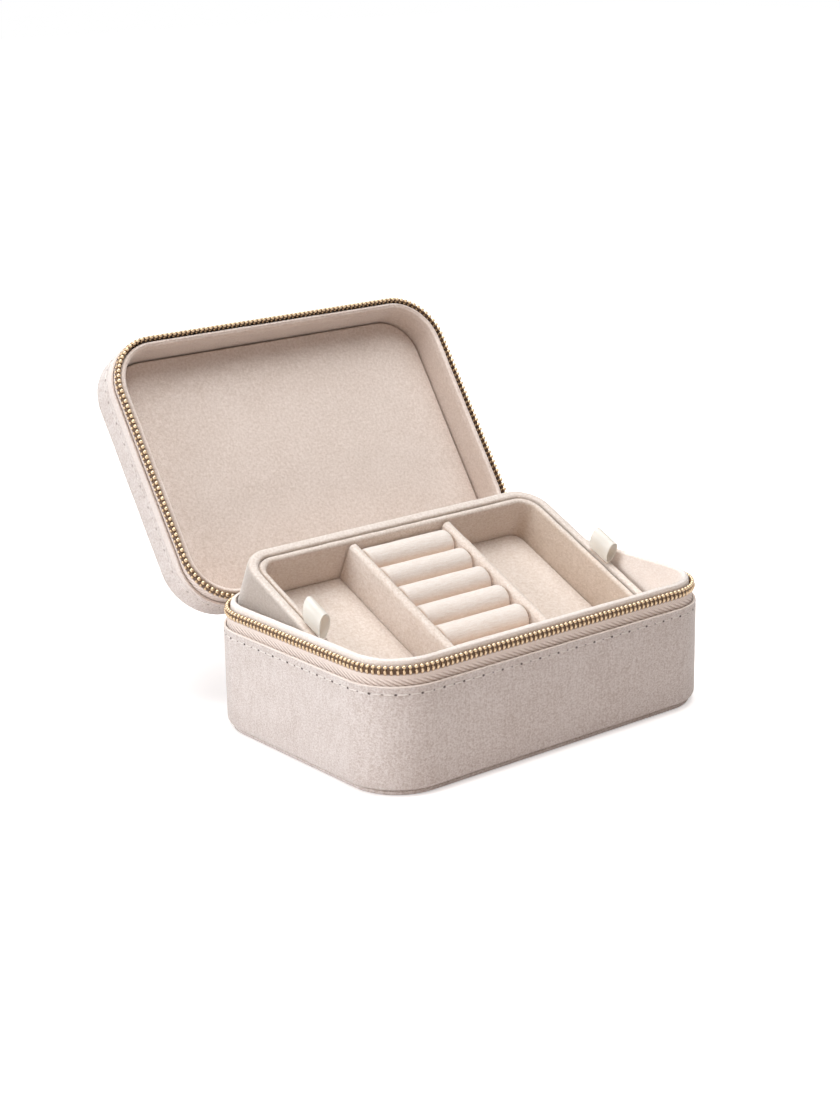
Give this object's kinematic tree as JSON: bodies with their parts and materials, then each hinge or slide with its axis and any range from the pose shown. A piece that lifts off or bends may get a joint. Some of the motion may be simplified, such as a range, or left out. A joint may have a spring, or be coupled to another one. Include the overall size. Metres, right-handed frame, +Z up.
{
  "type": "travel jewelry case",
  "caption": "Zipped velvet travel jewelry case with a hinged padded lid and a tilting inner tray that holds rings between padded rolls.",
  "frame": {"origin": "middle of the case's underside, which is the face it stands on", "axes": "+X along the case's long side to the viewer's right, +Y towards the hinge, +Z up"},
  "size_m": [0.16, 0.1865, 0.1353],
  "materials": {
    "outer_velvet": "short-pile velvet, warm greige",
    "lining_velvet": "short-pile velvet, warm beige",
    "roll_velvet": "short-pile velvet, cream",
    "zipper_tape": "woven tape",
    "zipper_brass": "polished",
    "ribbon_satin": "satin",
    "grey_board": "matte"
  },
  "bodies": {
    "base": {"base_bottom_panel": "outer_velvet", "base_outer_cover": "outer_velvet", "base_board_shell": "grey_board", "base_rim_wall": "lining_velvet", "base_floor_pad": "lining_velvet", "base_zipper_tape": "zipper_tape", "base_zipper_teeth": "zipper_brass", "base_hinge_strip": "outer_velvet", "lower_cross_divider": "lining_velvet", "lower_left_divider": "lining_velvet", "lower_right_divider": "lining_velvet", "zipper_slider": "zipper_brass"},
    "lid": {"lid_outer_cover": "outer_velvet", "lid_top_panel": "outer_velvet", "lid_board_shell": "grey_board", "lid_rim_wall": "lining_velvet", "lid_ceiling_panel": "lining_velvet", "lid_zipper_tape": "zipper_tape", "lid_zipper_teeth": "zipper_brass", "lid_hinge_strip": "outer_velvet"},
    "tray": {"tray_shell": "lining_velvet", "tray_liner": "lining_velvet", "tray_left_floor": "lining_velvet", "tray_right_floor": "lining_velvet", "tray_roll_bed": "lining_velvet", "left_divider": "lining_velvet", "right_divider": "lining_velvet", "ring_roll_1": "roll_velvet", "ring_roll_2": "roll_velvet", "ring_roll_3": "roll_velvet", "ring_roll_4": "roll_velvet", "ring_roll_5": "roll_velvet", "ring_roll_6": "roll_velvet", "ring_roll_7": "roll_velvet"},
    "left_pull_tab": {"left_pull_tab": "ribbon_satin"},
    "right_pull_tab": {"right_pull_tab": "ribbon_satin"},
    "zipper_pull": {"zipper_pull": "zipper_brass"}
  },
  "joints": [
    {"name": "lid_hinge", "type": "hinge", "parent": "base", "child": "lid", "pos_m": [0, 0.05367, 0.04638], "axis": [-1, 0, 0], "range_deg": [-123.6, 0]},
    {"name": "tray_tilt", "type": "hinge", "parent": "base", "child": "tray", "pos_m": [0, -0.01551, 0.0414], "axis": [1, 0, 0], "range_deg": [-24.5, 0]},
    {"name": "left_tab_flip", "type": "hinge", "parent": "tray", "child": "left_pull_tab", "pos_m": [-0.0693, -0.00087, 0.04692], "axis": [0, 0.91, 0.4147], "range_deg": [-40, 25]},
    {"name": "right_tab_flip", "type": "hinge", "parent": "tray", "child": "right_pull_tab", "pos_m": [0.0693, -0.00087, 0.04692], "axis": [0, 0.91, 0.4147], "range_deg": [-65, 0]},
    {"name": "pull_swing", "type": "hinge", "parent": "base", "child": "zipper_pull", "pos_m": [0.047, 0.05695, 0.0439], "axis": [1, 0, 0], "range_deg": [0, 30]}
  ],
  "couplings": [
    {"joint": "tray_tilt", "follows": "lid_hinge", "ratio": 0.19822}
  ]
}
